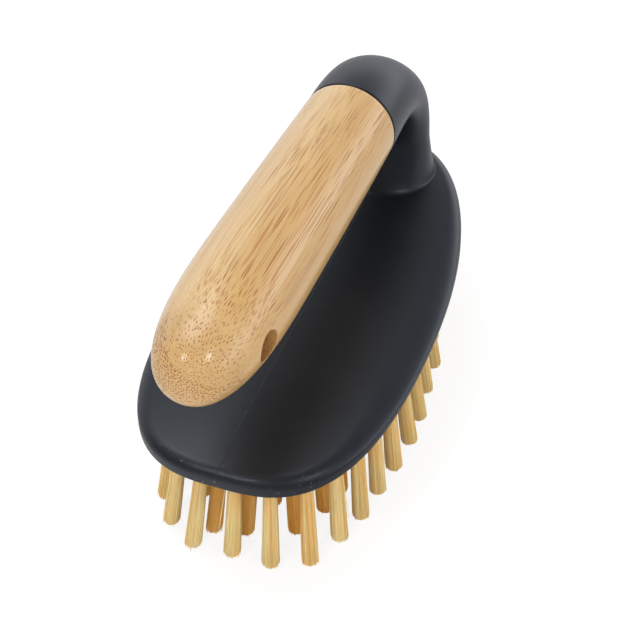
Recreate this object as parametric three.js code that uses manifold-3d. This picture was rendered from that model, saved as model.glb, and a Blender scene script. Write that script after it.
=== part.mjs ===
// Scrub brush: a turned bamboo grip on a swan-neck plastic body with fused bristle tufts.
// Millimetres, +Z up, toe towards -Y, bristle tips on Z = 0, origin under the middle of the brush.
import * as THREE from 'three';
import { mergeVertices } from 'three/addons/utils/BufferGeometryUtils.js';
import Module from 'manifold-3d';

const wasm = await Module();
wasm.setup();

// Whole brush
const overallHeight = 100.23; // from the bristle tips to the top of the grip

// Base block
const baseLength = 151;
const baseWidth = 75;
const toeLength = 60.6; // from the widest section to the toe
const toeFullnessAlong = 2.4;
const toeFullnessAcross = 3;
const heelFullness = 2.06;
const edgeHeight = 5.6;
const edgeRadius = 2.6;
const edgeBreak = 1;
const crownRise = 2.1;
const crownPower = 1.6;
const skirtWall = 2.6;
const ledgeWidth = 1.6;

// Tuft plate and bristles
const bristleLength = 34; // from the tips to the bottom of the skirt
const plateRecess = 0.6;
const plateThickness = 2.4;
const backingThickness = 0.8;
const tipInset = 4.5; // outer tips to the rim of the base
const tipNarrowing = 0.97; // width of the tips' outlines, as a share of the base's
const tuftSpacing = 10.7;
const tuftFan = 0.12; // how much wider the tips are spread than the roots
const tuftRadius = 1.95;
const tuftFlare = 1.3;
const strandGap = 0.2;
const strandsPerTuft = 4;
const strandSides = 4;
const tuftHoleSides = 8;
const ringNames = ['outer_bristles', 'second_bristles', 'third_bristles', 'centre_bristles'];
const ringTurns = [0.05, 0.2, 0.4, 0]; // start of each ring, in tuft spacings from the toe

// Bamboo grip
const gripLength = 118.6;
const gripRise = 3.75; // degrees, rising towards the toe
const gripRootRadius = 13.65;
const gripMiddleRadius = 14.5;
const gripEndRadius = 15.1;
const domeLength = 46;
const domeFullness = 2.77;
const gripEdge = 0.5;
const hangHoleRadius = 4.3;
const hangHoleFromEnd = 23.45;
const hangHoleDrop = 1; // below the grip's axis
const tenonRadius = 8;
const tenonLength = 17;
const tenonChamfer = 1;

// Swan neck between the base and the grip
const collarFromHeel = 48.5;
const stemFromHeel = 15.97;
const stemHalfWidth = 13.06;
const stemHalfDepth = 8.28;
const upperReach = 6.74; // how far the neck keeps on along the grip's axis
const lowerReachShare = 1.122; // pull of the upright stem, as a share of the neck's height above it
const footHeight = 14.3;
const footHalfWidth = 15.8;
const footHalfLength = 16.2;
const footForward = 2.33;
const footTaper = 0.72; // share of the foot's spread that comes gently over its whole height
const footEase = 1.25; // how gently that spread sets in below the stem
const footFillet = 5; // power of the fillet that brings the rest; higher is tighter
const footSink = 0.9;
const neckBlend = 0.94; // share of the neck's curve over which it goes from round to oval
const neckWall = 3.2;
const coreEnd = 0.75; // where the hollow of the stem stops on the neck's curve
const collarEdge = 0.5;

// Clearance between pieces that seat on each other
const fitGap = 0.3;

// Fineness of the facets
const outlineSteps = 72;
const edgeSteps = 4;
const crownSteps = 5;
const neckSides = 28;
const neckSteps = 13;
const footSteps = 8;
const coreSteps = 4;
const gripSides = 36;
const gripBodySteps = 6;
const domeSteps = 10;
const holeSides = 24;
const walkSteps = 720; // for walking along a ring of tufts or along the grip
const mergeDistance = 1e-4;

// Levels and places that follow from the sizes above
const rimZ = bristleLength;
const edgeZ = rimZ + edgeHeight;
const plateBottom = rimZ + plateRecess;
const plateTop = plateBottom + plateThickness;
const ledgeZ = plateTop + fitGap;
const backingBottom = plateTop + fitGap;
const backingTop = backingBottom + backingThickness;
const ceilingZ = backingTop + fitGap;
const halfWidth = baseWidth / 2;
const heelY = baseLength / 2;
const widestY = toeLength - heelY;
const heelLength = baseLength - toeLength;
const stemY = heelY - stemFromHeel;
const footY = stemY - footForward;
const stemTopZ = edgeZ + crownRise + footHeight;
const rise = THREE.MathUtils.degToRad(gripRise);
const collarZ = overallHeight - gripTopAboveCollar();
const collar = new THREE.Vector3(0, heelY - collarFromHeel, collarZ);
const lowerReach = lowerReachShare * (collarZ - stemTopZ);
const lastRing = ringNames.length - 1;
const intoNeck = new THREE.Vector3(0, Math.cos(rise), -Math.sin(rise));
const gripUp = new THREE.Vector3(0, Math.sin(rise), Math.cos(rise));
const across = new THREE.Vector3(1, 0, 0);

const plastic = new THREE.MeshStandardMaterial({ color: 0x34383e, roughness: 0.42, metalness: 0 });
const bamboo = new THREE.MeshStandardMaterial({ color: 0xd8ad70, roughness: 0.48, metalness: 0 });
const bristle = new THREE.MeshStandardMaterial({ color: 0xe0bb74, roughness: 0.6, metalness: 0 });

// A closed geometry as a solid that can be joined and cut
function solidOf(geometry) {
  const bare = geometry.clone();
  bare.deleteAttribute('normal');
  bare.deleteAttribute('uv');
  const merged = mergeVertices(bare, mergeDistance);
  const corners = merged.index.array;
  const triangles = [];
  for (let i = 0; i < corners.length; i += 3) {
    const [a, b, c] = [corners[i], corners[i + 1], corners[i + 2]];
    if (a !== b && b !== c && c !== a) triangles.push(a, b, c);
  }
  const vertProperties = new Float32Array(merged.attributes.position.array);
  const triVerts = new Uint32Array(triangles);
  return new wasm.Manifold(new wasm.Mesh({ numProp: 3, vertProperties, triVerts }));
}

function geometryOf(solid) {
  const { vertProperties, triVerts } = solid.getMesh();
  const geometry = new THREE.BufferGeometry();
  geometry.setAttribute('position', new THREE.BufferAttribute(vertProperties, 3));
  geometry.setIndex(new THREE.BufferAttribute(triVerts, 1));
  geometry.computeVertexNormals();
  return geometry;
}

function meshOf(name, solid, material) {
  const mesh = new THREE.Mesh(geometryOf(solid), material);
  mesh.name = name;
  return mesh;
}

// Closed skin over a row of rings that turn left about the direction of travel, with fan caps
function loft(rings) {
  const count = rings[0].length;
  const points = rings.flat();
  const first = 0;
  const last = (rings.length - 1) * count;
  const index = [];
  const middleOf = (ring) => ring.reduce((sum, p) => sum.add(p), new THREE.Vector3()).divideScalar(count);
  points.push(middleOf(rings[0]), middleOf(rings[rings.length - 1]));
  const [startCap, endCap] = [points.length - 2, points.length - 1];
  for (let i = 0; i < count; i += 1) {
    const next = (i + 1) % count;
    for (let start = first; start < last; start += count) {
      const [a, b] = [start + i, start + next];
      index.push(a, b, b + count, a, b + count, a + count);
    }
    index.push(startCap, first + next, first + i, endCap, last + i, last + next);
  }
  const geometry = new THREE.BufferGeometry().setFromPoints(points);
  geometry.setIndex(index);
  return geometry;
}

// Ellipse square to the direction of travel
function ellipseRing(centre, travel, halfAcross, halfDeep) {
  const deep = new THREE.Vector3().crossVectors(travel, across);
  const ring = [];
  for (let i = 0; i < neckSides; i += 1) {
    const angle = (2 * Math.PI * i) / neckSides;
    const point = centre.clone().addScaledVector(across, halfAcross * Math.cos(angle));
    ring.push(point.addScaledVector(deep, halfDeep * Math.sin(angle)));
  }
  return ring;
}

const signedPower = (value, power) => Math.sign(value) * Math.abs(value) ** power;

// Plan outline of the base drawn in by an inset: full at the toe and close to an ellipse at the heel
function outline(inset, count = outlineSteps) {
  const points = [];
  for (let i = 0; i < count; i += 1) {
    const angle = (2 * Math.PI * i) / count - Math.PI / 2;
    const atToe = Math.sin(angle) < 0;
    const reach = (atToe ? toeLength : heelLength) - inset;
    const powerAcross = 2 / (atToe ? toeFullnessAcross : heelFullness);
    const powerAlong = 2 / (atToe ? toeFullnessAlong : heelFullness);
    const x = (halfWidth - inset) * signedPower(Math.cos(angle), powerAcross);
    const y = reach * signedPower(Math.sin(angle), powerAlong);
    points.push(new THREE.Vector2(x, y + widestY));
  }
  return points;
}

// The inset of the outline that passes through a point of the base
function insetAt(x, y) {
  const along = y - widestY;
  const [reach, powerAlong, powerAcross] =
    along < 0 ? [toeLength, toeFullnessAlong, toeFullnessAcross] : [heelLength, heelFullness, heelFullness];
  let [low, high] = [0, halfWidth];
  while (high - low > mergeDistance) {
    const middle = (low + high) / 2;
    const shareAcross = Math.abs(x / (halfWidth - middle)) ** powerAcross;
    const shareAlong = Math.abs(along / (reach - middle)) ** powerAlong;
    if (shareAcross + shareAlong > 1) high = middle;
    else low = middle;
  }
  return low;
}

// Height of the base's top: a rounded edge, then a low crown that levels out towards the middle
function topHeight(inset) {
  if (inset < edgeRadius) {
    return edgeZ - edgeRadius + Math.sqrt(edgeRadius ** 2 - (edgeRadius - inset) ** 2);
  }
  const fromMiddle = (halfWidth - inset) / (halfWidth - edgeRadius);
  return edgeZ + crownRise * (1 - fromMiddle ** crownPower);
}

// Flat plate with the base's outline, or with an outline of its own
function slab(points, bottom, top, holePoints = null) {
  const shape = new THREE.Shape(points);
  if (holePoints) shape.holes.push(new THREE.Path(holePoints));
  const geometry = new THREE.ExtrudeGeometry(shape, { depth: top - bottom, bevelEnabled: false });
  return solidOf(geometry.translate(0, 0, bottom));
}

// Outside of the base block, from the broken lower edge over the rounded upper edge to the crown
function baseBlock() {
  const ringAt = (inset, z) => outline(inset).map((p) => new THREE.Vector3(p.x, p.y, z));
  const rings = [ringAt(edgeBreak, rimZ), ringAt(0, rimZ + edgeBreak)];
  for (let i = 0; i <= edgeSteps; i += 1) {
    const inset = edgeRadius * (1 - Math.cos((Math.PI / 2) * (i / edgeSteps)));
    rings.push(ringAt(inset, topHeight(inset)));
  }
  for (let i = 1; i < crownSteps; i += 1) {
    const inset = edgeRadius + (halfWidth - edgeRadius) * (i / crownSteps);
    rings.push(ringAt(inset, topHeight(inset)));
  }
  return solidOf(loft(rings));
}

const neckCurve = new THREE.CubicBezierCurve3(
  collar,
  collar.clone().addScaledVector(intoNeck, upperReach),
  new THREE.Vector3(0, stemY, stemTopZ + lowerReach),
  new THREE.Vector3(0, stemY, stemTopZ),
);

// Half width and half depth of the neck, from the round collar to the oval stem
function neckSection(t) {
  const share = THREE.MathUtils.smoothstep(t, 0, neckBlend);
  return [
    THREE.MathUtils.lerp(gripRootRadius, stemHalfWidth, share),
    THREE.MathUtils.lerp(gripRootRadius, stemHalfDepth, share),
  ];
}

// One ring of the flared foot: share 0 is the stem and 1 the foot's edge on the crowned top
function footRing(share, height) {
  const ring = [];
  for (let i = 0; i < neckSides; i += 1) {
    const angle = (2 * Math.PI * i) / neckSides;
    const [cos, sin] = [Math.cos(angle), Math.sin(angle)];
    const foot = new THREE.Vector2(footHalfWidth * cos, footY - footHalfLength * sin);
    const stem = new THREE.Vector2(stemHalfWidth * cos, stemY - stemHalfDepth * sin);
    const ground = topHeight(insetAt(foot.x, foot.y));
    const plan = stem.lerp(foot, share);
    ring.push(new THREE.Vector3(plan.x, plan.y, ground + height));
  }
  return ring;
}

// Outside of the neck, from the collar down to a foot that sweeps out onto the base
function neck() {
  const faceRadius = gripRootRadius - collarEdge;
  const behindEdge = collar.clone().addScaledVector(intoNeck, collarEdge);
  const rings = [
    ellipseRing(collar, intoNeck, faceRadius, faceRadius),
    ellipseRing(behindEdge, intoNeck, gripRootRadius, gripRootRadius),
  ];
  for (let i = 1; i <= neckSteps; i += 1) {
    const t = i / neckSteps;
    rings.push(ellipseRing(neckCurve.getPoint(t), neckCurve.getTangent(t), ...neckSection(t)));
  }
  for (let i = 1; i <= footSteps; i += 1) {
    const swing = (Math.PI / 2) * (i / footSteps);
    const down = Math.sin(swing);
    const fillet = 1 - (1 - down ** footFillet) ** (1 / footFillet);
    const spread = THREE.MathUtils.lerp(fillet, down ** footEase, footTaper);
    rings.push(footRing(spread, footHeight * (1 - down)));
  }
  rings.push(footRing(1, -footSink));
  return solidOf(loft(rings));
}

// Hollow of the stem, widening down the foot and open to the recess under the base
function stemCore() {
  const up = new THREE.Vector3(0, 0, 1);
  const size = (t) => neckSection(t).map((half) => half - neckWall);
  const mouth = new THREE.Vector3(0, stemY - footTaper * footForward, ceilingZ - backingThickness);
  const mouthWidth = THREE.MathUtils.lerp(stemHalfWidth, footHalfWidth, footTaper) - neckWall;
  const mouthLength = THREE.MathUtils.lerp(stemHalfDepth, footHalfLength, footTaper) - neckWall;
  const rings = [ellipseRing(mouth, up, mouthWidth, mouthLength)];
  for (let i = 0; i <= coreSteps; i += 1) {
    const t = THREE.MathUtils.lerp(1, coreEnd, i / coreSteps);
    rings.push(ellipseRing(neckCurve.getPoint(t), neckCurve.getTangent(t).negate(), ...size(t)));
  }
  return solidOf(loft(rings));
}

// Turned solid on the grip's axis: radii at distances from the collar, counted towards the toe
function turned(profile) {
  const points = profile.map(([radius, distance]) => new THREE.Vector2(radius, distance));
  const geometry = new THREE.LatheGeometry(points, gripSides);
  return solidOf(geometry.rotateX(Math.PI - rise).translate(collar.x, collar.y, collar.z));
}

function brushBody() {
  const plateSeat = slab(outline(skirtWall), rimZ - edgeBreak, ledgeZ);
  const backingSeat = slab(outline(skirtWall + ledgeWidth), rimZ - edgeBreak, ceilingZ);
  const socketDepth = tenonLength + fitGap;
  const socketRadius = tenonRadius + fitGap;
  const socket = turned([
    [0, -socketDepth],
    [socketRadius, -socketDepth],
    [socketRadius, tenonChamfer],
    [0, tenonChamfer],
  ]);
  const moulding = baseBlock().add(neck());
  return moulding.subtract(plateSeat).subtract(backingSeat).subtract(stemCore()).subtract(socket);
}

// Radius of the grip at a distance from the collar: a slight swell, then a long dome
function gripRadius(distance) {
  const domeStart = gripLength - domeLength;
  if (distance > domeStart) {
    const share = Math.min((distance - domeStart) / domeLength, 1);
    return gripEndRadius * (1 - share ** domeFullness) ** (1 / domeFullness);
  }
  const u = distance / domeStart;
  const root = gripRootRadius * (1 - u) * (1 - 2 * u);
  return root + gripMiddleRadius * 4 * u * (1 - u) + gripEndRadius * u * (2 * u - 1);
}

// How far the highest point of the rising grip stands above the middle of the collar
function gripTopAboveCollar() {
  let top = gripRootRadius;
  for (let i = 0; i <= walkSteps; i += 1) {
    const distance = (gripLength * i) / walkSteps;
    top = Math.max(top, distance * Math.sin(rise) + gripRadius(distance) * Math.cos(rise));
  }
  return top;
}

function bambooGrip() {
  const shoulder = fitGap;
  const profile = [
    [0, -tenonLength],
    [tenonRadius - tenonChamfer, -tenonLength],
    [tenonRadius, tenonChamfer - tenonLength],
    [tenonRadius, shoulder],
    [gripRootRadius - gripEdge, shoulder],
  ];
  const bodyStart = shoulder + gripEdge;
  for (let i = 0; i < gripBodySteps; i += 1) {
    const s = THREE.MathUtils.lerp(bodyStart, gripLength - domeLength, i / gripBodySteps);
    profile.push([gripRadius(s), s]);
  }
  for (let i = 0; i < domeSteps; i += 1) {
    const share = Math.sin((Math.PI / 2) * (i / domeSteps)) ** (2 / domeFullness);
    const s = gripLength - domeLength * (1 - share);
    profile.push([gripRadius(s), s]);
  }
  profile.push([0, gripLength]);
  const holeCentre = collar.clone().addScaledVector(intoNeck, hangHoleFromEnd - gripLength);
  holeCentre.addScaledVector(gripUp, -hangHoleDrop);
  const holeLength = 4 * gripEndRadius;
  const hole = new THREE.CylinderGeometry(hangHoleRadius, hangHoleRadius, holeLength, holeSides);
  hole.rotateZ(Math.PI / 2).translate(holeCentre.x, holeCentre.y, holeCentre.z);
  return turned(profile).subtract(solidOf(hole));
}

// Insets of the tip rings: even steps from the outer ring to a single row along the middle
const ringInset = (ring) => tipInset + ((halfWidth - tipInset) * ring) / lastRing;

// Outline of a ring of tips, a little narrower than the base's
function tipOutline(inset, count, scale) {
  return outline(inset, count).map((p) => new THREE.Vector2(p.x * tipNarrowing, p.y).multiplyScalar(scale));
}

// Tip places of one ring, evenly spaced along its outline
function tuftTips(ring) {
  const path = tipOutline(ringInset(ring), walkSteps, 1);
  if (ring === lastRing) path.length = walkSteps / 2 + 1;
  else path.push(path[0].clone());
  const reached = [0];
  for (let i = 1; i < path.length; i += 1) {
    reached.push(reached[i - 1] + path[i].distanceTo(path[i - 1]));
  }
  const total = reached[reached.length - 1];
  const steps = Math.round(total / tuftSpacing);
  const count = ring === lastRing ? steps + 1 : steps;
  const tips = [];
  for (let k = 0; k < count; k += 1) {
    const goal = Math.min(((k + ringTurns[ring]) * total) / steps, total);
    const after = Math.max(reached.findIndex((length) => length >= goal), 1);
    const share = (goal - reached[after - 1]) / (reached[after] - reached[after - 1] || 1);
    tips.push(path[after - 1].clone().lerp(path[after], share));
  }
  return tips;
}

// Straight prism between two heights, leaning from its root towards its tip with level ends
function leaningPrism(root, tip, rootZ, tipZ, radius, sides) {
  const geometry = new THREE.CylinderGeometry(radius, radius, rootZ - tipZ, sides);
  geometry.rotateX(Math.PI / 2).translate(0, 0, (rootZ + tipZ) / 2);
  const leanX = (root.x - tip.x) / (rootZ - tipZ);
  const leanY = (root.y - tip.y) / (rootZ - tipZ);
  const lean = new THREE.Matrix4().set(
    1, 0, leanX, tip.x - leanX * tipZ,
    0, 1, leanY, tip.y - leanY * tipZ,
    0, 0, 1, 0,
    0, 0, 0, 1,
  );
  return solidOf(geometry.applyMatrix4(lean));
}

const rootOf = (tip) => tip.clone().divideScalar(1 + tuftFan);
const sideShare = Math.sin(Math.PI / strandsPerTuft);
const strandRadius = (tuftRadius * sideShare - strandGap / 2) / (1 + sideShare);

// Strands of one tuft, from the fused backing through the plate to the level tips
function tuftStrands(tip) {
  const root = rootOf(tip);
  const rootZ = (backingBottom + backingTop) / 2;
  const strands = [];
  for (let i = 0; i < strandsPerTuft; i += 1) {
    const offset = new THREE.Vector2(tuftRadius - strandRadius, 0);
    offset.rotateAround(new THREE.Vector2(), (2 * Math.PI * i) / strandsPerTuft);
    const strandRoot = root.clone().add(offset);
    const strandTip = tip.clone().addScaledVector(offset, tuftFlare);
    strands.push(leaningPrism(strandRoot, strandTip, rootZ, 0, strandRadius, strandSides));
  }
  return strands;
}

// Band of backing behind one ring of tufts, with a gap to the bands on either side
function backingBand(ring) {
  const scale = 1 / (1 + tuftFan);
  const halfGap = fitGap / 2 / scale;
  const midInset = (a, b) => (ringInset(a) + ringInset(b)) / 2;
  const shrunk = (inset) => tipOutline(inset, outlineSteps, scale);
  const seatEdge = skirtWall + ledgeWidth + fitGap;
  const outer = ring === 0 ? outline(seatEdge) : shrunk(midInset(ring - 1, ring) + halfGap);
  const inner = ring === lastRing ? null : shrunk(midInset(ring, ring + 1) - halfGap);
  return slab(outer, backingBottom, backingTop, inner);
}

function bristleRing(ring) {
  const strands = tuftTips(ring).flatMap(tuftStrands);
  return wasm.Manifold.union([backingBand(ring), ...strands]);
}

// Plate with one slanted hole for each tuft
function tuftPlate() {
  const holeRadius = (tuftRadius + fitGap) / Math.cos(Math.PI / tuftHoleSides);
  const holeTop = (backingBottom + backingTop) / 2;
  const tips = ringNames.flatMap((name, ring) => tuftTips(ring));
  const holes = tips.map((tip) => leaningPrism(rootOf(tip), tip, holeTop, 0, holeRadius, tuftHoleSides));
  return slab(outline(skirtWall + fitGap), plateBottom, plateTop).subtract(wasm.Manifold.union(holes));
}

const brush = new THREE.Group();
brush.add(meshOf('brush_body', brushBody(), plastic));
brush.add(meshOf('tuft_plate', tuftPlate(), plastic));
brush.add(meshOf('bamboo_grip', bambooGrip(), bamboo));
ringNames.forEach((name, ring) => brush.add(meshOf(name, bristleRing(ring), bristle)));

// The origin lies under the middle of the brush's length
const box = new THREE.Box3().setFromObject(brush);
brush.position.y = -(box.min.y + box.max.y) / 2;

export default brush;
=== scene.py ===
import math
import random

import bmesh
import bpy
import numpy as np
from mathutils import Matrix, Vector


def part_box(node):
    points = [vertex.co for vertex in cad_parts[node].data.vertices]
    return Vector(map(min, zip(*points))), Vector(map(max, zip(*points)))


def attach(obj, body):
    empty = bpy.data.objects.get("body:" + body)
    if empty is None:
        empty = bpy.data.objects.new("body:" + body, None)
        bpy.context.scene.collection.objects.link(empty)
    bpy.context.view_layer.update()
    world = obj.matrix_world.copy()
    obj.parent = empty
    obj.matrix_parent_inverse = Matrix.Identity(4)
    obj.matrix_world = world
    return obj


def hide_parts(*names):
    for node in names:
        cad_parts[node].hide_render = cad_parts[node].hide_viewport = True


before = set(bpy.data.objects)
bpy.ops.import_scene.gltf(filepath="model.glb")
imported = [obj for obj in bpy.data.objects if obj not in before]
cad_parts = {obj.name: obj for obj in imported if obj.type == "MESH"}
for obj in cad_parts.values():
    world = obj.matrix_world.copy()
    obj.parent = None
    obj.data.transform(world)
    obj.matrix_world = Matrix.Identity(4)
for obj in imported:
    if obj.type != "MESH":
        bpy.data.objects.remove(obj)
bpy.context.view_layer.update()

MM = 0.001

# Sizes of the base block, in millimetres, with a flatter crown and softer edges than in the part's source
BASE_LENGTH = 151.0
BASE_WIDTH = 75.0
TOE_LENGTH = 60.6
TOE_FULL_ALONG = 2.4
TOE_FULL_ACROSS = 3.0
HEEL_FULL = 2.06
EDGE_HEIGHT = 5.6
EDGE_RADIUS = 2.6
EDGE_BREAK = 1.0
EDGE_REACH = 3.6
SIDE_REACH = 9.0
SIDE_BREAK = 2.6
CROWN_RISE = 2.1
CROWN_POWER = 3.0
SKIRT_WALL = 2.6
LEDGE_WIDTH = 1.6
RIM_Z = 34.0
LEDGE_Z = 37.3
CEILING_Z = 38.4
EDGE_Z = RIM_Z + EDGE_HEIGHT
HALF_WIDTH = BASE_WIDTH / 2
HEEL_Y = BASE_LENGTH / 2
WIDEST_Y = TOE_LENGTH - HEEL_Y

# Grip and swan neck
GRIP_LENGTH = 118.5
GRIP_RISE = math.radians(3.75)
GRIP_RADII = (13.65, 14.49, 15.08)
DOME_LENGTH = 45.9
DOME_FULL = 2.77
GRIP_EDGE = 0.5
HOLE_RADIUS = 4.3
HOLE_FROM_END = 23.35
HOLE_DROP = 1.0
HOLE_LIP = 0.35
FIT_GAP = 0.3
TENON_RADIUS = 8.0
TENON_LENGTH = 17.0
COLLAR_EDGE = 0.5
COLLAR_FROM_HEEL = 48.5
COLLAR_Z = 79.651
COLLAR = Vector((0, HEEL_Y - COLLAR_FROM_HEEL, COLLAR_Z))
INTO_NECK = Vector((0, math.cos(GRIP_RISE), -math.sin(GRIP_RISE)))
GRIP_UP = Vector((0, math.sin(GRIP_RISE), math.cos(GRIP_RISE)))
STEM_FROM_HEEL = 15.97
STEM_Y = HEEL_Y - STEM_FROM_HEEL
STEM_HALF = (13.06, 8.28)
UPPER_REACH = 6.74
LOWER_REACH = 26.536
FOOT_HEIGHT = 14.3
FOOT_HALF = (15.8, 16.2)
FOOT_FORWARD = 2.33
FOOT_Y = STEM_Y - FOOT_FORWARD
FOOT_TAPER = 0.72
FOOT_EASE = 1.25
FOOT_FILLET = 5.0
NECK_BLEND = 0.94
STEM_TOP_Z = EDGE_Z + CROWN_RISE + FOOT_HEIGHT

# Tufts, whose roots are slightly thinner than in the part's source
RINGS = ("outer_bristles", "second_bristles", "third_bristles", "centre_bristles")
RING_TURNS = (0.05, 0.2, 0.4, 0.0)
TIP_INSET = 4.5
TIP_NARROWING = 0.97
TUFT_SPACING = 10.7
TUFT_FAN = 0.12
TUFT_RADIUS = 1.8
TUFT_FLARE = 1.36
FILAMENTS = 70
FILAMENT_RADIUS = 0.15
ROOT_Z = 36.6
TUFT_BEND = 1.15
TUFT_SWAY = 0.35
# Tone of each ring: the inner rings are set darker and oranger as painted shade among the tufts under the
# base
RING_TONES_AND_SHADE = (0.72, 0.2, 0.12, 0.12)
TONE_SPREAD = 0.03

# How far the tips of some tufts lean from their even places, by ring and tuft
LEANS = (
    {30: (-1.1, 1.0), 31: (-1.3, 0.2), 0: (-0.4, 1.6), 1: (0.5, 0.7), 2: (1.3, -0.2),
     3: (0.3, 1.5), 4: (-0.2, 1.0), 5: (-0.7, 0.8), 6: (-0.2, 0.2), 7: (0.5, 0.6),
     8: (0.3, -0.2), 9: (-0.7, 0.2), 10: (-0.7, 0.6), 11: (-3.1, 0.6), 12: (-2.4, 0.0)},
    {25: (0.3, -4.2), 0: (-1.4, -0.8), 1: (2.0, 1.0), 2: (1.3, 2.2)},
    {},
    {},
)

# Single filaments that stand off an outer tuft: the way they leave it, how far, and the height of their end
STRAYS = {0: (math.radians(195), 1.6, 8.5), 3: (math.radians(-10), 0.9, 9.0)}

# The part's origin lies under the middle of the brush, not of the base
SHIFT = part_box("brush_body")[1].y / MM - HEEL_Y


def signed_power(value, power):
    return np.sign(value) * np.abs(value) ** power


def outline(angle, inset):
    """Plan points of the base's outline drawn in by an inset."""
    angle = np.asarray(angle, float)
    toe = np.sin(angle) < 0
    reach = np.where(toe, TOE_LENGTH, BASE_LENGTH - TOE_LENGTH) - inset
    across = 2 / np.where(toe, TOE_FULL_ACROSS, HEEL_FULL)
    along = 2 / np.where(toe, TOE_FULL_ALONG, HEEL_FULL)
    x = (HALF_WIDTH - inset) * signed_power(np.cos(angle), across)
    y = reach * signed_power(np.sin(angle), along) + WIDEST_Y
    return np.stack([x, y], axis=-1)


def inset_at(plan):
    """The inset of the outline that passes through each plan point."""
    along = plan[:, 1] - WIDEST_Y
    toe = along < 0
    reach = np.where(toe, TOE_LENGTH, BASE_LENGTH - TOE_LENGTH)
    power_along = np.where(toe, TOE_FULL_ALONG, HEEL_FULL)
    power_across = np.where(toe, TOE_FULL_ACROSS, HEEL_FULL)
    low = np.zeros(len(plan))
    high = np.full(len(plan), HALF_WIDTH)
    for _ in range(40):
        middle = (low + high) / 2
        share = np.abs(plan[:, 0] / (HALF_WIDTH - middle)) ** power_across
        share += np.abs(along / (reach - middle)) ** power_along
        high = np.where(share > 1, middle, high)
        low = np.where(share > 1, low, middle)
    return low


def top_height(inset, reach):
    """Height of the base's top: a low crown that rolls over into a soft edge."""
    crown = EDGE_Z + CROWN_RISE * (1 - (1 - inset / HALF_WIDTH) ** CROWN_POWER)
    near = np.clip(1 - inset / reach, 0, 1)
    return crown - EDGE_RADIUS * (1 - np.sqrt(1 - near ** 2))


def new_piece(name, points, faces, material, sharp=40):
    """A smooth-shaded mesh object from points in millimetres about the middle of the base."""
    mesh = bpy.data.meshes.new(name)
    mesh.from_pydata(((np.asarray(points, float) + (0, SHIFT, 0)) * MM).tolist(), [], faces)
    outward = bmesh.new()
    outward.from_mesh(mesh)
    bmesh.ops.recalc_face_normals(outward, faces=outward.faces)
    outward.to_mesh(mesh)
    outward.free()
    mesh.shade_smooth()
    mesh.set_sharp_from_angle(angle=math.radians(sharp))
    mesh.materials.append(material)
    piece = bpy.data.objects.new(name, mesh)
    bpy.context.scene.collection.objects.link(piece)
    return piece


def skin(rings):
    """Points and faces of a closed skin over rings of equal count, with flat caps."""
    count = len(rings[0])
    points = np.concatenate(rings)
    faces = []
    for start in range(0, (len(rings) - 1) * count, count):
        for i in range(count):
            j = (i + 1) % count
            faces.append((start + i, start + count + i, start + count + j, start + j))
    last = (len(rings) - 1) * count
    faces.append(tuple(range(count)))
    faces.append(tuple(last + i for i in reversed(range(count))))
    return points, faces


def column_angles(count):
    """Outline angles that suit both the base's edge and the neck's foot."""
    angle = np.linspace(-math.pi / 2, 1.5 * math.pi, 20001)
    plan = outline(angle, 0)
    walked = np.concatenate([[0], np.cumsum(np.linalg.norm(np.diff(plan, axis=0), axis=1))])
    bearing = np.unwrap(np.arctan2(plan[:, 1] - FOOT_Y, plan[:, 0]))
    share = 0.5 * walked / walked[-1] + 0.5 * (bearing - bearing[0]) / (2 * math.pi)
    return np.interp(np.arange(count) / count, share, angle)


def neck_point(t):
    """Place and direction of travel on the neck's curve, from the collar to the stem."""
    a = np.array(COLLAR)
    b = np.array(COLLAR + INTO_NECK * UPPER_REACH)
    c = np.array((0, STEM_Y, STEM_TOP_Z + LOWER_REACH))
    d = np.array((0, STEM_Y, STEM_TOP_Z))
    place = a * (1 - t) ** 3 + 3 * b * t * (1 - t) ** 2 + 3 * c * t ** 2 * (1 - t) + d * t ** 3
    travel = 3 * (b - a) * (1 - t) ** 2 + 6 * (c - b) * t * (1 - t) + 3 * (d - c) * t ** 2
    return place, travel / np.linalg.norm(travel)


def ellipse_ring(place, travel, half_across, half_deep, angles):
    across = np.array((1.0, 0, 0))
    deep = np.cross(travel, across)
    ring = np.outer(np.cos(angles) * half_across, across) + np.outer(np.sin(angles) * half_deep, deep)
    return ring + place


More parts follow.
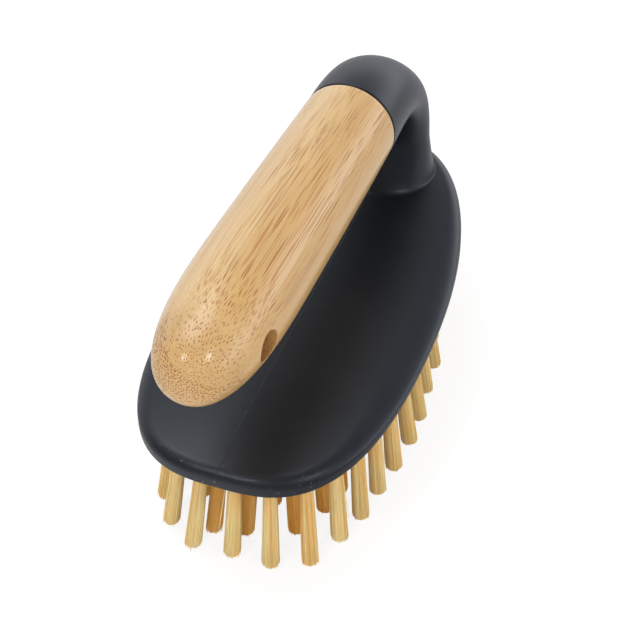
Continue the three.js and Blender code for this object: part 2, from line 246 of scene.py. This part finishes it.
def body_rings(count=256):
    """Rings of the one-piece moulding, from inside the socket to inside the recess."""
    columns = column_angles(count)
    beside = (outline(columns, 0)[:, 0] / HALF_WIDTH) ** 8
    reach = EDGE_REACH + (SIDE_REACH - EDGE_REACH) * beside
    under = EDGE_BREAK + (SIDE_BREAK - EDGE_BREAK) * beside
    rim = outline(columns, reach)
    toward = rim - np.array((0, FOOT_Y))
    turn = np.arctan2(-toward[:, 1] / FOOT_HALF[1], toward[:, 0] / FOOT_HALF[0])
    foot = np.stack([FOOT_HALF[0] * np.cos(turn), FOOT_Y - FOOT_HALF[1] * np.sin(turn)], axis=-1)
    stem = np.stack([STEM_HALF[0] * np.cos(turn), STEM_Y - STEM_HALF[1] * np.sin(turn)], axis=-1)
    ground = top_height(inset_at(foot), reach)
    collar, into = np.array(COLLAR), np.array(INTO_NECK)
    rings = []

    def round_ring(along, radius):
        rings.append(ellipse_ring(collar + into * along, into, radius, radius, turn))

    socket = TENON_RADIUS + FIT_GAP
    round_ring(TENON_LENGTH + FIT_GAP, socket)
    round_ring(0.2, socket)
    round_ring(0.0, socket + 0.2)
    root = GRIP_RADII[0]
    for i in range(6):
        swing = math.pi / 2 * i / 5
        round_ring(COLLAR_EDGE * (1 - math.cos(swing)), root - COLLAR_EDGE * (1 - math.sin(swing)))
    for i in range(1, 49):
        t = i / 48
        share = min(t / NECK_BLEND, 1)
        share = share * share * (3 - 2 * share)
        half_across = root + (STEM_HALF[0] - root) * share
        half_deep = root + (STEM_HALF[1] - root) * share
        place, travel = neck_point(t)
        if place @ into - collar @ into > COLLAR_EDGE + 0.1 or t > 0.2:
            rings.append(ellipse_ring(place, travel, half_across, half_deep, turn))
    for i in range(1, 29):
        down = math.sin(math.pi / 2 * i / 28)
        fillet = 1 - max(1 - down ** FOOT_FILLET, 0) ** (1 / FOOT_FILLET)
        spread = FOOT_TAPER * down ** FOOT_EASE + (1 - FOOT_TAPER) * fillet
        plan = stem + (foot - stem) * spread
        rings.append(np.column_stack([plan, ground + FOOT_HEIGHT * (1 - down)]))
    steps = 44
    for i in range(1, steps):
        share = 0.5 - 0.5 * math.cos(math.pi * i / steps)
        plan = foot + (rim - foot) * share
        rings.append(np.column_stack([plan, top_height(inset_at(plan), reach)]))

    def level_ring(inset, z):
        rings.append(np.column_stack([outline(columns, inset), np.zeros(count) + z]))

    for i in range(15):
        inset = reach * (1 - math.sin(math.pi / 2 * i / 14))
        level_ring(inset, top_height(inset, reach))
    level_ring(0, EDGE_Z - EDGE_RADIUS - 0.2)
    for i in range(8):
        swing = math.pi / 2 * i / 7
        level_ring(under * (1 - math.cos(swing)), RIM_Z + under * (1 - math.sin(swing)))
    level_ring(SKIRT_WALL + 0.1, RIM_Z)
    level_ring(SKIRT_WALL + 0.1, LEDGE_Z)
    level_ring(SKIRT_WALL + LEDGE_WIDTH, LEDGE_Z)
    level_ring(SKIRT_WALL + LEDGE_WIDTH, CEILING_Z)
    return rings


def grip_radius(distance):
    start = GRIP_LENGTH - DOME_LENGTH
    if distance > start:
        share = min((distance - start) / DOME_LENGTH, 1)
        return GRIP_RADII[2] * (1 - share ** DOME_FULL) ** (1 / DOME_FULL)
    u = distance / start
    root = GRIP_RADII[0] * (1 - u) * (1 - 2 * u)
    return root + GRIP_RADII[1] * 4 * u * (1 - u) + GRIP_RADII[2] * u * (2 * u - 1)


def on_grip(x, distance, height):
    """Points given across, along and above the grip's axis, counted from the collar to the free end."""
    ring = np.outer(distance, -np.array(INTO_NECK)) + np.outer(height, np.array(GRIP_UP))
    ring[:, 0] += x
    return ring + np.array(COLLAR)


def turned(profile, sides):
    """Rings about the grip's axis from (radius, distance) pairs."""
    angles = np.arange(sides) * 2 * math.pi / sides
    rings = []
    for radius, distance in profile:
        rings.append(on_grip(radius * np.cos(angles), np.full(sides, distance), radius * np.sin(angles)))
    return rings


def hole_cutter(sides=96):
    """Bore across the grip, opening out into a soft lip where it meets the surface."""
    centre = GRIP_LENGTH - HOLE_FROM_END
    angles = np.arange(sides) * 2 * math.pi / sides
    surface = []
    for angle in angles:
        radius = grip_radius(centre + HOLE_RADIUS * math.cos(angle))
        surface.append(math.sqrt(radius ** 2 - (HOLE_RADIUS * math.sin(angle) - HOLE_DROP) ** 2))
    surface = np.array(surface)
    half = [(0.0, -HOLE_LIP)]
    for i in range(1, 6):
        swing = math.pi / 2 * i / 6
        half.append((HOLE_LIP * (1 - math.cos(swing)), HOLE_LIP * (math.sin(swing) - 1)))
    half.append((HOLE_LIP * 1.6, 0.15))
    half.append((HOLE_LIP * 6, 1.2))
    rings = []
    for side in (-1, 1):
        for out, depth in reversed(half) if side < 0 else half:
            radius = HOLE_RADIUS + out
            x = side * (surface + depth)
            rings.append(on_grip(x, centre + radius * np.cos(angles), radius * np.sin(angles) - HOLE_DROP))
    return rings


def tuft_tips(ring):
    """Tip places of one ring, evenly spaced along its outline."""
    last = len(RINGS) - 1
    inset = TIP_INSET + (HALF_WIDTH - TIP_INSET) * ring / last
    angle = np.arange(721) * 2 * math.pi / 720 - math.pi / 2
    path = outline(angle, inset) * (TIP_NARROWING, 1)
    if ring == last:
        path = path[:361]
    walked = np.concatenate([[0], np.cumsum(np.linalg.norm(np.diff(path, axis=0), axis=1))])
    steps = round(walked[-1] / TUFT_SPACING)
    goals = (np.arange(steps + (ring == last)) + RING_TURNS[ring]) * walked[-1] / steps
    goals = np.minimum(goals, walked[-1])
    return np.column_stack([np.interp(goals, walked, path[:, 0]), np.interp(goals, walked, path[:, 1])])


def bundle(root, tip, end_z, dice):
    """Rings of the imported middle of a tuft, flaring towards a rounded end."""
    turns = np.arange(24) * 2 * math.pi / 24
    lumps = 1 + sum(dice.gauss(0, 0.02) * np.cos(k * turns + dice.uniform(0, 6.28)) for k in (2, 3, 5))
    rings = []
    for level in range(17):
        t = math.sin(math.pi / 2 * level / 16)
        z = ROOT_Z + (end_z - ROOT_Z) * t
        middle = root + (tip - root) * t ** TUFT_BEND
        radius = TUFT_RADIUS * (1 + (TUFT_FLARE - 1) * t) * 0.97
        below = max(0.0, 1 - (z - end_z) / 1.7)
        radius *= 0.3 + 0.7 * math.sqrt(max(0.0, 1 - below ** 2.2))
        spread = np.stack([np.cos(turns), np.sin(turns)], axis=-1) * (radius * lumps)[:, None]
        rings.append(np.column_stack([middle + spread, np.full(len(turns), z)]))
    return rings


def filaments(ring):
    """Points, faces and tones of one ring of tufts: packed bundles with fine filaments around them."""
    dice = random.Random(40 + ring)
    points, faces, tones = [], [], []
    sides, levels = 3, 6

    def strand(start, end, tip_z, radius, twist, tone):
        """Adds one filament from its root to its tip."""
        first = len(points)
        for level in range(levels):
            t = level / (levels - 1)
            z = ROOT_Z + (tip_z - ROOT_Z) * t
            middle = start + (end - start) * t ** TUFT_BEND
            for i in range(sides):
                a = twist + 2 * math.pi * i / sides
                r = radius * (0.6 if level == levels - 1 else 1)
                points.append((middle[0] + r * math.cos(a), middle[1] + r * math.sin(a), z))
                tones.append(tone)
        for level in range(levels - 1):
            for i in range(sides):
                a = first + level * sides + i
                b = first + level * sides + (i + 1) % sides
                faces.append((a, a + sides, b + sides, b))
        end_ring = first + (levels - 1) * sides
        faces.append(tuple(end_ring + i for i in reversed(range(sides))))
        faces.append(tuple(first + i for i in range(sides)))

    for number, tip in enumerate(tuft_tips(ring)):
        root = tip / (1 + TUFT_FAN)
        sway = (dice.gauss(0, TUFT_SWAY), dice.gauss(0, TUFT_SWAY))
        tip = tip + LEANS[ring].get(number, sway)
        tuft_tone = max(0.03, dice.gauss(RING_TONES_AND_SHADE[ring], TONE_SPREAD))
        core, core_faces = skin(bundle(root, tip, 0.12 + 0.5 * dice.random(), dice))
        faces.extend(tuple(len(points) + corner for corner in face) for face in core_faces)
        points.extend(core.tolist())
        tones.extend([tuft_tone] * len(core))
        for k in range(FILAMENTS):
            turn = 2 * math.pi * k / FILAMENTS + dice.gauss(0, 0.05)
            reach = dice.uniform(0.9, 1.0)
            spoke = np.array((math.cos(turn), math.sin(turn))) * reach
            start = root + spoke * (TUFT_RADIUS - FILAMENT_RADIUS)
            stray = np.array((dice.gauss(0, 0.1), dice.gauss(0, 0.1)))
            if dice.random() < 0.02:
                stray *= 6
            end = tip + spoke * TUFT_RADIUS * TUFT_FLARE * 0.98 + stray
            tip_z = 1.25 + max(-0.6, dice.gauss(0, 0.18))
            radius = FILAMENT_RADIUS * dice.uniform(0.8, 1.15)
            twist = dice.uniform(0, 2)
            strand(start, end, tip_z, radius, twist, min(1, tuft_tone * dice.uniform(0.6, 1.4)))
        if ring == 0 and number in STRAYS:
            turn, off, tip_z = STRAYS[number]
            spoke = np.array((math.cos(turn), math.sin(turn)))
            start = root + spoke * (TUFT_RADIUS - FILAMENT_RADIUS)
            middle = root + (tip - root) * (1 - tip_z / ROOT_Z)
            strand(start, middle + spoke * (TUFT_RADIUS * TUFT_FLARE + off), tip_z, FILAMENT_RADIUS, 0.0, 1.0)
    return np.array(points), faces, tones


class Nodes:
    """Short ways to add and join shader nodes."""

    def __init__(self, tree):
        self.tree = tree
        self.tree.nodes.clear()

    def add(self, kind, **settings):
        node = self.tree.nodes.new(kind)
        for name, value in settings.items():
            setattr(node, name, value)
        return node

    def join(self, output, socket):
        self.tree.links.new(output, socket)

    def put(self, value, socket):
        if isinstance(value, bpy.types.NodeSocket):
            self.join(value, socket)
        else:
            socket.default_value = value

    def math(self, operation, a, b=0.0, c=0.0, clamp=False):
        node = self.add("ShaderNodeMath", operation=operation, use_clamp=clamp)
        for socket, value in zip(node.inputs, (a, b, c)):
            self.put(value, socket)
        return node.outputs[0]

    def span(self, value, low, high, out_low=0.0, out_high=1.0):
        node = self.add("ShaderNodeMapRange", interpolation_type="SMOOTHSTEP")
        for socket, v in zip(node.inputs, (value, low, high, out_low, out_high)):
            self.put(v, socket)
        return node.outputs[0]

    def mix(self, share, a, b):
        node = self.add("ShaderNodeMix", data_type="RGBA")
        self.put(share, node.inputs[0])
        self.put(a, node.inputs[6])
        self.put(b, node.inputs[7])
        return node.outputs[2]

    def scaled(self, vector, scale):
        node = self.add("ShaderNodeMapping", vector_type="POINT")
        self.join(vector, node.inputs["Vector"])
        node.inputs["Scale"].default_value = scale
        return node.outputs[0]

    def noise(self, vector, scale, detail=2.0, roughness=0.5):
        node = self.add("ShaderNodeTexNoise")
        self.join(vector, node.inputs["Vector"])
        node.inputs["Scale"].default_value = scale
        node.inputs["Detail"].default_value = detail
        node.inputs["Roughness"].default_value = roughness
        return node.outputs[0]

    def wander(self, vector, guide, amount):
        """The vector moved about by a slow noise that follows the guide."""
        noise = self.add("ShaderNodeTexNoise")
        self.join(guide, noise.inputs["Vector"])
        noise.inputs["Scale"].default_value = 1.0
        noise.inputs["Detail"].default_value = 1.0
        node = self.add("ShaderNodeVectorMath", operation="MULTIPLY_ADD")
        self.join(noise.outputs["Color"], node.inputs[0])
        node.inputs[1].default_value = (amount, amount, amount)
        self.join(vector, node.inputs[2])
        return node.outputs[0]

    def combine(self, x, y, z=0.0):
        node = self.add("ShaderNodeCombineXYZ")
        for socket, value in zip(node.inputs, (x, y, z)):
            self.put(value, socket)
        return node.outputs[0]

    def product(self, *values):
        result = values[0]
        for value in values[1:]:
            result = self.math("MULTIPLY", result, value)
        return result

    def cells(self, vector, scale, randomness=1.0, dimensions="3D"):
        node = self.add("ShaderNodeTexVoronoi", feature="F1", voronoi_dimensions=dimensions)
        self.join(vector, node.inputs["Vector"])
        node.inputs["Scale"].default_value = scale
        node.inputs["Randomness"].default_value = randomness
        return node.outputs["Distance"], node.outputs["Color"]

    def parts(self, vector):
        node = self.add("ShaderNodeSeparateXYZ")
        self.join(vector, node.inputs[0])
        return node.outputs

    def place(self):
        """Object coordinates in millimetres."""
        coordinates = self.add("ShaderNodeTexCoord").outputs["Object"]
        return self.scaled(coordinates, (1 / MM, 1 / MM, 1 / MM))

    def grip_place(self):
        """Millimetres across, towards the neck along and above the grip's axis, from the collar."""
        coordinates = self.add("ShaderNodeTexCoord").outputs["Object"]
        node = self.add("ShaderNodeMapping", vector_type="TEXTURE")
        self.join(coordinates, node.inputs["Vector"])
        node.inputs["Location"].default_value = (COLLAR + Vector((0, SHIFT, 0))) * MM
        node.inputs["Rotation"].default_value = (-GRIP_RISE, 0, 0)
        node.inputs["Scale"].default_value = (MM, MM, MM)
        return node.outputs[0]

    def bump(self, height, distance, strength=1.0):
        node = self.add("ShaderNodeBump")
        self.join(height, node.inputs["Height"])
        node.inputs["Distance"].default_value = distance
        node.inputs["Strength"].default_value = strength
        return node.outputs[0]

    def principled(self, color, roughness, normal=None, specular=0.5, tint=(1, 1, 1, 1)):
        node = self.add("ShaderNodeBsdfPrincipled")
        self.put(color, node.inputs["Base Color"])
        self.put(roughness, node.inputs["Roughness"])
        self.put(specular, node.inputs["Specular IOR Level"])
        self.put(tint, node.inputs["Specular Tint"])
        if normal is not None:
            self.join(normal, node.inputs["Normal"])
        return node.outputs[0]

    def finish(self, shader):
        self.join(shader, self.add("ShaderNodeOutputMaterial").inputs["Surface"])


def new_material(name):
    material = bpy.data.materials.new(name)
    material.use_nodes = True
    return material, Nodes(material.node_tree)


def plastic_material():
    """Charcoal plastic with a fine grain, a faint parting line and a little dust."""
    material, n = new_material("charcoal_plastic")
    place = n.place()
    x, y, z = n.parts(place)[:3]
    grain = n.noise(place, 2.4, 3, 0.7)
    patches = n.span(n.noise(place, 0.05, 3), 0.35, 0.7)
    color = n.mix(patches, (0.0098, 0.0110, 0.0143, 1), (0.0124, 0.0137, 0.0172, 1))
    on_base = n.span(z, 44.5, 45.5, 1, 0)
    line = n.product(n.span(n.math("ABSOLUTE", x), 0.05, 0.2, 1, 0), on_base)
    color = n.mix(n.math("MULTIPLY", line, 0.05), color, (0.12, 0.12, 0.125, 1))

    # Dust: few specks on the whole, more along the lower front of the skirt
    distance, tint = n.cells(place, 0.33)
    size, chance = n.parts(tint)[:2]
    specks = n.product(n.span(distance, 0.025, 0.06, 1, 0), n.span(chance, 0.4, 0.6), size)
    distance, tint = n.cells(n.scaled(place, (0.6, 1, 1)), 0.95)
    size, chance = n.parts(tint)[:2]
    on_front = n.product(n.span(y, -62, -54, 1, 0), n.span(z, 38, 40.5, 1, 0))
    grit = n.product(n.span(distance, 0.08, 0.22, 1, 0), n.span(chance, 0.2, 0.5), size, on_front)
    dust = n.math("MAXIMUM", n.math("MULTIPLY", specks, 0.5), grit)
    color = n.mix(n.math("MULTIPLY", dust, 0.7), color, (0.42, 0.42, 0.43, 1))
    height = n.math("MULTIPLY_ADD", line, 2.5, grain)
    normal = n.bump(height, 0.00002)
    n.finish(n.principled(color, 0.38, normal, 0.44, (0.86, 0.93, 1.04, 1)))
    return material


def plate_material():
    material, n = new_material("plate_plastic")
    n.finish(n.principled((0.016, 0.0165, 0.018, 1), 0.5))
    return material


def bamboo_material():
    """Laminated bamboo, whose bundles the grip's surface cuts into streaks, dashes and dots."""
    material, n = new_material("bamboo")
    place = n.grip_place()
    bent = n.wander(place, n.scaled(place, (0.12, 0.025, 0.12)), 0.5)
    x, y, h = n.parts(bent)[:3]
    section = n.combine(x, h)
    depth = n.math("MULTIPLY_ADD", x, 0.47, n.math("MULTIPLY", h, 0.88))
    upper = n.span(depth, 4.7, 5.2)
    lower = n.math("SUBTRACT", 1.0, upper)
    facing = n.add("ShaderNodeVectorMath", operation="DOT_PRODUCT")
    n.join(n.add("ShaderNodeNewGeometry").outputs["Normal"], facing.inputs[0])
    facing.inputs[1].default_value = -INTO_NECK
    end_grain = n.span(n.math("ABSOLUTE", facing.outputs["Value"]), 0.12, 0.32)

    # Upper strip: bundles that show everywhere on the end grain, and as streaks towards the top
    distance, tint = n.cells(section, 1 / 0.64, 0.8, "2D")
    chance, strength = n.parts(tint)[:2]
    there = n.math("LESS_THAN", chance, n.span(depth, 5.0, 12.5, 0.6, 1.0))
    node_band = n.product(n.span(y, -36, -30), n.span(y, -12, -4, 1, 0))
    run = n.noise(n.combine(n.math("MULTIPLY", chance, 90.0), n.math("MULTIPLY", y, 0.03)), 1.0, 1)
    dash = n.noise(n.combine(n.math("MULTIPLY", chance, 90.0), n.math("MULTIPLY", y, 0.2)), 1.0, 1)
    broken = n.mix(node_band, n.span(run, 0.35, 0.5, 0.2, 1), n.span(dash, 0.40, 0.52, 0.05, 1))
    streak = n.product(n.span(depth, 8.0, 12.5, 0.05, 1.0), broken)
    clear = n.mix(end_grain, streak, (1, 1, 1, 1))
    thin = n.math("MULTIPLY", distance, n.span(end_grain, 0, 1, 1.35, 1))
    large = n.product(n.span(thin, 0.12, 0.3, 1, 0), there, clear, n.span(strength, 0, 1, 0.5, 1), upper)

    # Lower strip: small bundles, closest just under the seam
    distance, tint = n.cells(section, 1 / 0.68, 0.75, "2D")
    chance, strength = n.parts(tint)[:2]
    there = n.math("LESS_THAN", chance, n.span(depth, -10, 4.6, 0.45, 1.0))
    clear = n.mix(end_grain, (0.15, 0.15, 0.15, 1), (1, 1, 1, 1))
    small = n.product(
        n.span(distance, 0.18, 0.4, 1, 0), there, clear, n.span(strength, 0, 1, 0.6, 1.0), lower)

    # Hair lines of single fibres, closest together on the upper right
    distance, tint = n.cells(section, 1 / 0.5, 0.95, "2D")
    chance, strength = n.parts(tint)[:2]
    run = n.noise(n.combine(n.math("MULTIPLY", chance, 90.0), n.math("MULTIPLY", y, 0.045)), 1.0, 1)
    crowd = n.product(n.span(depth, 8.0, 12.0, 0.06, 1.0), n.span(y, -34, -28, 1, 0.6))
    fibre = n.product(
        n.span(distance, 0.14, 0.3, 1, 0), n.span(run, 0.33, 0.45), n.span(strength, 0, 1, 0.4, 1))
    hairs = n.product(fibre, crowd, n.span(end_grain, 0, 0.6, 1, 0))

    # Ground tissue with fine lines along the grain, deeper on the end grain, and deeper on the right partly
    # for denser fibres and partly as painted shade
    fine = n.noise(n.scaled(bent, (1.0, 0.01, 1.0)), 3.0, 5, 0.75)
    broad = n.noise(n.scaled(bent, (1.0, 0.05, 1.0)), 0.22, 3)
    color = n.mix(n.span(fine, 0.25, 0.75), (0.68, 0.435, 0.19, 1), (0.85, 0.62, 0.345, 1))
    color = n.mix(n.math("MULTIPLY", n.span(broad, 0.4, 0.7), 0.3), color, (0.60, 0.355, 0.14, 1))
    color = n.mix(n.math("MULTIPLY", lower, 0.18), color, (0.54, 0.30, 0.11, 1))
    color = n.mix(n.math("MULTIPLY", end_grain, 0.72), color, (0.56, 0.33, 0.125, 1))
    # Painted shade, in part: darker towards the right, where the grip turns away from the light; the rest
    # stands for the denser fibres there
    right = n.product(n.span(x, -2, 8, 0, 0.7), n.math("SUBTRACT", 1.0, end_grain))
    color = n.mix(right, color, (0.56, 0.315, 0.1, 1))
    color = n.mix(n.math("MULTIPLY", hairs, 0.95), color, (0.40, 0.13, 0.016, 1))
    bundles = n.math("MAXIMUM", large, small)
    color = n.mix(bundles, color, (0.26, 0.082, 0.012, 1))

    # Painted shade: the bore of the hang hole is coloured darker and browner, for the shade inside it
    px, py, ph = n.parts(place)[:3]
    to_hole = n.math("ADD", py, GRIP_LENGTH - HOLE_FROM_END)
    to_axis = n.math("ADD", ph, HOLE_DROP)
    away = n.math("SQRT", n.math("ADD", n.product(to_hole, to_hole), n.product(to_axis, to_axis)))
    color = n.mix(n.span(away, HOLE_RADIUS, HOLE_RADIUS + 0.3, 0.6, 0), color, (0.36, 0.155, 0.035, 1))

    # Scar of a small bud beside the node
    off_x = n.math("MULTIPLY", n.math("SUBTRACT", px, 5.9), 1 / 0.9)
    off_y = n.math("MULTIPLY", n.math("ADD", py, 24.8), 1 / 1.3)
    off = n.math("SQRT", n.math("ADD", n.product(off_x, off_x), n.product(off_y, off_y)))
    ring = n.product(
        n.span(off, 0.4, 0.9), n.span(off, 0.9, 1.5, 1, 0), n.span(ph, 2, 4), n.span(fine, 0.3, 0.6))
    color = n.mix(n.math("MULTIPLY", ring, 0.18), color, (0.30, 0.13, 0.04, 1))
    normal = n.bump(n.math("MULTIPLY", bundles, -1.0), 0.00003)
    n.finish(n.principled(color, n.math("MULTIPLY_ADD", bundles, 0.2, 0.22), normal))
    return material


def bristle_material():
    """Straw-coloured fibre with fine lines that follow the fan of the tufts, with painted shade towards the
    roots and on the inner rings
    """
    material, n = new_material("bristle_fibre")
    tone = n.add("ShaderNodeAttribute", attribute_name="tone").outputs["Fac"]
    x, y, z = n.parts(n.place())[:3]
    down = n.math("POWER", n.math("MULTIPLY_ADD", z, -1 / ROOT_Z, 1.0, True), TUFT_BEND)
    fan = n.math("MULTIPLY_ADD", down, TUFT_FAN / (1 + TUFT_FAN), 1 / (1 + TUFT_FAN))
    across = n.math("DIVIDE", x, fan)
    along = n.math("DIVIDE", n.math("SUBTRACT", y, SHIFT), fan)
    lines = n.noise(n.combine(across, along, n.math("MULTIPLY", z, 0.01)), 4.2, 3, 0.6)
    shade = n.math("MULTIPLY", tone, n.span(lines, 0.35, 0.65, 0.6, 1.3), 0.0, True)
    color = n.mix(shade, (0.97, 0.53, 0.065, 1), (1.0, 0.94, 0.55, 1))
    # Painted shade: darker and oranger towards the roots, under the base
    color = n.mix(n.span(z, 8, 36, 0.0, 0.5), color, (0.94, 0.47, 0.04, 1))
    solid = n.principled(color, 0.5, None, 0.15)
    through = n.add("ShaderNodeBsdfTranslucent")
    n.join(color, through.inputs["Color"])
    blend = n.add("ShaderNodeMixShader")
    blend.inputs[0].default_value = 0.35
    n.join(solid, blend.inputs[1])
    n.join(through.outputs[0], blend.inputs[2])
    n.finish(blend.outputs[0])
    return material


def floor_material():
    """White paper that the camera sees a little brighter than it lights the brush."""
    material, n = new_material("white_floor")
    seen = n.add("ShaderNodeLightPath").outputs["Is Camera Ray"]
    paper = n.add("ShaderNodeBsdfDiffuse")
    x, y = n.parts(n.place())[:2]
    # Painted shadow: glossy rays see the floor darker on the right, fading out towards the back, for the
    # brush's shadow as the plastic reflects it
    corner = n.product(n.span(x, -50, 150), n.span(y, -50, 60, 1, 0))
    mirrored = n.math("MULTIPLY", corner, n.add("ShaderNodeLightPath").outputs["Is Glossy Ray"])
    n.join(n.mix(mirrored, (0.88, 0.88, 0.88, 1), (0.2, 0.2, 0.2, 1)), paper.inputs["Color"])
    bright = n.add("ShaderNodeEmission")
    bright.inputs["Color"].default_value = (1, 1, 1, 1)
    far = n.math("SQRT", n.math("ADD", n.product(x, x), n.product(y, y)))
    n.join(n.span(far, 300, 1000, 1.12, 1.34), bright.inputs["Strength"])
    blend = n.add("ShaderNodeMixShader")
    n.join(n.math("MULTIPLY", seen, 0.76), blend.inputs[0])
    n.join(paper.outputs[0], blend.inputs[1])
    n.join(bright.outputs[0], blend.inputs[2])
    n.finish(blend.outputs[0])
    return material


# Pieces
plastic = plastic_material()
bamboo = bamboo_material()
bristle = bristle_material()

points, faces = skin(body_rings())
body = new_piece("body_skin", points, faces, plastic)
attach(body, "root")
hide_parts("brush_body")

profile = [
    (TENON_RADIUS - 1, -TENON_LENGTH),
    (TENON_RADIUS, 1 - TENON_LENGTH),
    (TENON_RADIUS, FIT_GAP),
    (GRIP_RADII[0] - GRIP_EDGE, FIT_GAP),
]
for i in range(1, 5):
    swing = math.pi / 2 * i / 5
    radius = GRIP_RADII[0] - GRIP_EDGE * (1 - math.sin(swing))
    profile.append((radius, FIT_GAP + GRIP_EDGE * (1 - math.cos(swing))))
for i in range(60):
    s = FIT_GAP + GRIP_EDGE + (GRIP_LENGTH - DOME_LENGTH - FIT_GAP - GRIP_EDGE) * i / 60
    profile.append((grip_radius(s), s))
for i in range(80):
    share = math.sin(math.pi / 2 * i / 80) ** (2 / DOME_FULL)
    s = GRIP_LENGTH - DOME_LENGTH * (1 - share)
    profile.append((grip_radius(s), s))
profile.append((0.02, GRIP_LENGTH))
points, faces = skin(turned(profile, 160))
grip = new_piece("grip_skin", points, faces, bamboo, 30)
points, faces = skin(hole_cutter())
cutter = new_piece("hole_cutter", points, faces, bamboo, 30)
cut = grip.modifiers.new("hang_hole", "BOOLEAN")
cut.operation = "DIFFERENCE"
cut.solver = "EXACT"
cut.object = cutter
bpy.context.view_layer.update()
bored = bpy.data.meshes.new_from_object(grip.evaluated_get(bpy.context.evaluated_depsgraph_get()))
grip.modifiers.clear()
grip.data = bored
bored.shade_smooth()
bored.set_sharp_from_angle(angle=math.radians(30))
bpy.data.objects.remove(cutter)
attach(grip, "root")
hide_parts("bamboo_grip")

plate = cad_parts["tuft_plate"]
plate.data.materials.clear()
plate.data.materials.append(plate_material())

for ring, name in enumerate(RINGS):
    points, faces, tones = filaments(ring)
    tufts = new_piece(name.replace("bristles", "tufts"), points, faces, bristle, 60)
    tone = tufts.data.attributes.new("tone", "FLOAT", "POINT")
    tone.data.foreach_set("value", np.array(tones, np.float32))
    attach(tufts, "root")
    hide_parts(name)

# Floor
floor_mesh = bpy.data.meshes.new("floor")
floor_mesh.from_pydata([(-4, -4, 0), (4, -4, 0), (4, 4, 0), (-4, 4, 0)], [], [(0, 1, 2, 3)])
floor_mesh.materials.append(floor_material())
floor = bpy.data.objects.new("floor", floor_mesh)
bpy.context.scene.collection.objects.link(floor)

# Light: a pale surround, brightest low behind the brush and on its right, with a lamp above, one at the
# back left, one on each side of the camera and a low one in front
world = bpy.data.worlds.new("studio")
bpy.context.scene.world = world
world.use_nodes = True
sky = Nodes(world.node_tree)
seen = sky.add("ShaderNodeLightPath").outputs["Is Camera Ray"]
ways = sky.parts(sky.add("ShaderNodeTexCoord").outputs["Generated"])
wall = sky.span(ways[2], 0.62, 0.86, 1, 0)
behind = sky.span(ways[1], -0.55, 0.35, 0.04, 1)
low = sky.span(ways[2], 0.1, 0.5, 1, 0)
low = sky.math("MULTIPLY", low, sky.span(ways[0], -0.5, 0.5, 0.8, 2.3))
glow = sky.math("MULTIPLY_ADD", wall, 0.3, low)
glow = sky.math("MULTIPLY_ADD", glow, behind, 0.14)
tinted = sky.add("ShaderNodeCombineXYZ")
for socket, share in zip(tinted.inputs, (0.95, 0.975, 1.03)):
    sky.join(sky.math("MULTIPLY", glow, share), socket)
air = sky.add("ShaderNodeBackground")
sky.join(sky.mix(seen, tinted.outputs[0], (1, 1, 1, 1)), air.inputs["Color"])
sky.join(air.outputs[0], sky.add("ShaderNodeOutputWorld").inputs["Surface"])


def soft_box(name, azimuth, elevation, size, glow):
    """Square lamp aimed at the brush. Azimuth 0 is behind it and 90 on its right."""
    a, e = math.radians(azimuth), math.radians(elevation)
    way = Vector((math.sin(a) * math.cos(e), math.cos(a) * math.cos(e), math.sin(e)))
    lamp = bpy.data.lights.new(name, "AREA")
    lamp.shape = "SQUARE"
    lamp.size = size
    lamp.energy = glow * math.pi * size ** 2
    holder = bpy.data.objects.new(name, lamp)
    holder.location = Vector((0, 0, 0.06)) + way * 1.2
    holder.rotation_mode = "QUATERNION"
    holder.rotation_quaternion = (-way).to_track_quat("-Z", "Y")
    bpy.context.scene.collection.objects.link(holder)
    return holder


soft_box("lamp_above", -50, 72, 0.75, 3.5)
soft_box("lamp_back_left", -85, 52, 0.6, 1.3)
soft_box("lamp_left", -160, 50, 0.19, 20.0)
soft_box("lamp_right", 114, 43, 0.19, 19.0)
soft_box("lamp_low", 170, 7, 1.3, 2.1).visible_glossy = False

# Camera, fitted to the photo's outlines
CAMERA_PLACE = (0.157802, -0.381324, 0.433175)
yaw, pitch, roll = 0.38450153, 0.76794487, -0.02787471
ahead = Vector((-math.sin(yaw) * math.cos(pitch), math.cos(yaw) * math.cos(pitch), -math.sin(pitch)))
level = Vector((math.cos(yaw), math.sin(yaw), 0))
above = level.cross(ahead)
right = math.cos(roll) * level + math.sin(roll) * above
top = -math.sin(roll) * level + math.cos(roll) * above
lens = bpy.data.cameras.new("camera")
lens.lens = 112.5
lens.sensor_width = 36
lens.clip_start = 0.01
lens.clip_end = 50
camera = bpy.data.objects.new("camera", lens)
turned_to = Matrix((right, top, -ahead)).transposed().to_4x4()
camera.matrix_world = Matrix.Translation(CAMERA_PLACE) @ turned_to
bpy.context.scene.collection.objects.link(camera)
bpy.context.scene.camera = camera
bpy.context.scene.view_settings.view_transform = "Standard"
